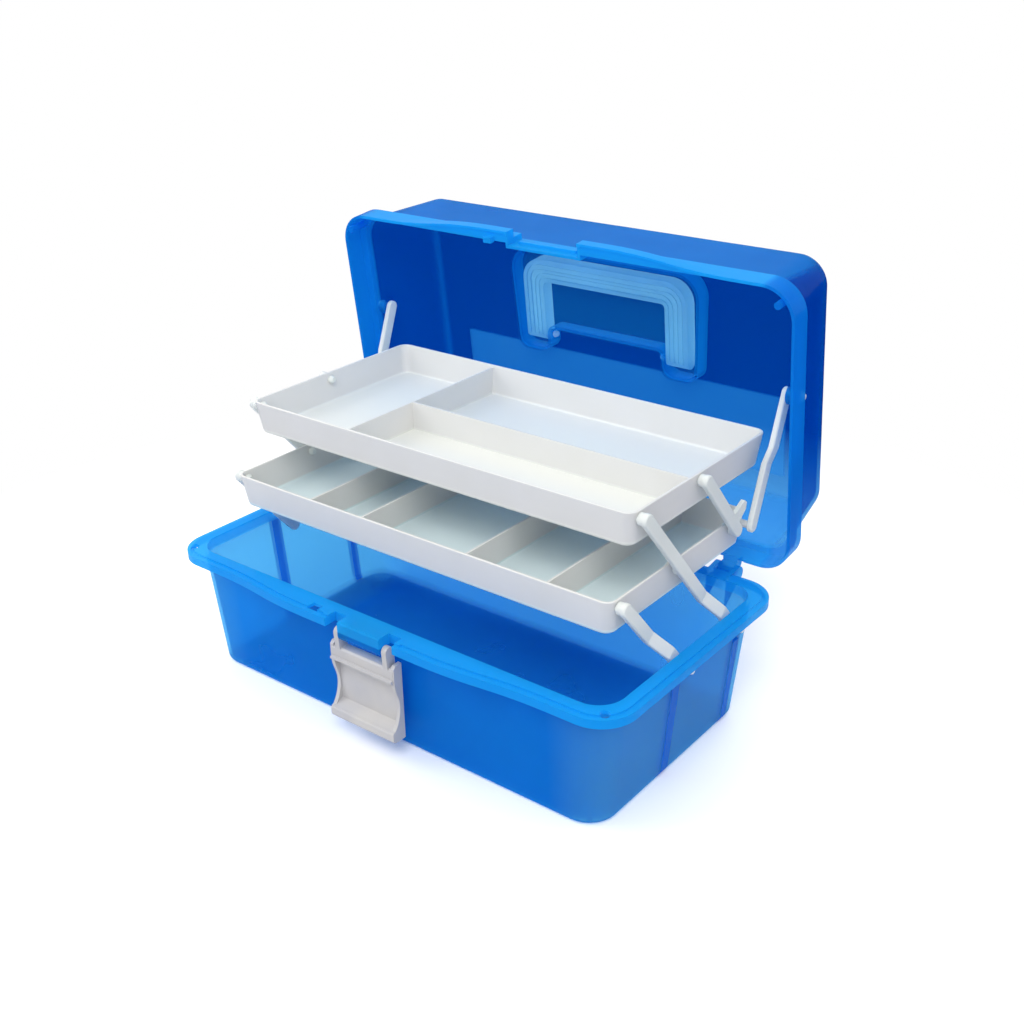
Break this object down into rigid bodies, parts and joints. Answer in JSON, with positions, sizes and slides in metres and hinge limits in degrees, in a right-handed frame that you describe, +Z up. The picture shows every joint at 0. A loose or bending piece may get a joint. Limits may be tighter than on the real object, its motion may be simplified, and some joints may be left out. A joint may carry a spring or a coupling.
{
  "type": "three-tier storage box",
  "caption": "Clear-tinted storage box with a hinged lid, fold-down handle, front latch and divided trays that rise on swinging arms as the lid opens.",
  "frame": {"origin": "centre of the bin's underside", "axes": "+X along the box from left to right, +Y from front to rear, +Z up; the box stands open as pictured, with the lid leaning back and the trays raised"},
  "size_m": [0.331, 0.2621, 0.2641],
  "materials": {
    "blue_shell": "see-through blue polypropylene, smooth and glossy",
    "white_tray": "opaque white polypropylene, satin",
    "natural_arm": "undyed milky polypropylene, satin",
    "frosted_handle": "frosted undyed polypropylene, satin",
    "pale_latch": "pale grey-white polypropylene, satin"
  },
  "bodies": {
    "base": {"base_bin": "blue_shell"},
    "lid": {"lid": "blue_shell"},
    "front_arms": {"front_arm_left": "natural_arm", "front_arm_right": "natural_arm"},
    "long_arms": {"long_arm_left": "natural_arm", "long_arm_right": "natural_arm"},
    "rear_arms": {"rear_arm_left": "natural_arm", "rear_arm_right": "natural_arm"},
    "lid_arms": {"lid_arm_left": "natural_arm", "lid_arm_right": "natural_arm"},
    "lower_tray": {"lower_tray": "white_tray"},
    "upper_tray": {"upper_tray": "white_tray"},
    "handle": {"handle": "frosted_handle"},
    "latch": {"latch": "pale_latch"}
  },
  "joints": [
    {"name": "lid_hinge", "type": "hinge", "parent": "base", "child": "lid", "pos_m": [0, 0.0952, 0.0755], "axis": [1, 0, 0], "range_deg": [0, 83.5]},
    {"name": "front_arm_swing", "type": "hinge", "parent": "base", "child": "front_arms", "pos_m": [0, 0.0005, 0.0648], "axis": [1, 0, 0], "range_deg": [0, 27]},
    {"name": "long_arm_swing", "type": "hinge", "parent": "base", "child": "long_arms", "pos_m": [0, 0.055, 0.0648], "axis": [1, 0, 0], "range_deg": [0, 27]},
    {"name": "lower_tray_level", "type": "hinge", "parent": "front_arms", "child": "lower_tray", "pos_m": [0, -0.04529, 0.11841], "axis": [1, 0, 0], "range_deg": [-27, 0]},
    {"name": "rear_arm_swing", "type": "hinge", "parent": "lower_tray", "child": "rear_arms", "pos_m": [0, 0.06821, 0.11841], "axis": [1, 0, 0], "range_deg": [0, 27]},
    {"name": "upper_tray_level", "type": "hinge", "parent": "rear_arms", "child": "upper_tray", "pos_m": [0, 0.03152, 0.16137], "axis": [1, 0, 0], "range_deg": [-27, 0]},
    {"name": "lid_arm_swing", "type": "hinge", "parent": "lid", "child": "lid_arms", "pos_m": [0, 0.10566, 0.19042], "axis": [1, 0, 0], "range_deg": [0, 22.43]},
    {"name": "handle_hinge", "type": "hinge", "parent": "lid", "child": "handle", "pos_m": [0, 0.15005, 0.17887], "axis": [-1, 0, 0], "range_deg": [0, 90]},
    {"name": "latch_hinge", "type": "hinge", "parent": "base", "child": "latch", "pos_m": [0, -0.0895, 0.0705], "axis": [-1, 0, 0], "range_deg": [0, 180]}
  ],
  "couplings": [
    {"joint": "front_arm_swing", "follows": "lid_hinge", "ratio": 0.32096},
    {"joint": "long_arm_swing", "follows": "lid_hinge", "ratio": 0.32096},
    {"joint": "lower_tray_level", "follows": "lid_hinge", "ratio": -0.32096},
    {"joint": "rear_arm_swing", "follows": "lid_hinge", "ratio": 0.32096},
    {"joint": "upper_tray_level", "follows": "lid_hinge", "ratio": -0.32096},
    {"joint": "lid_arm_swing", "follows": "lid_hinge", "ratio": 0.26623}
  ]
}
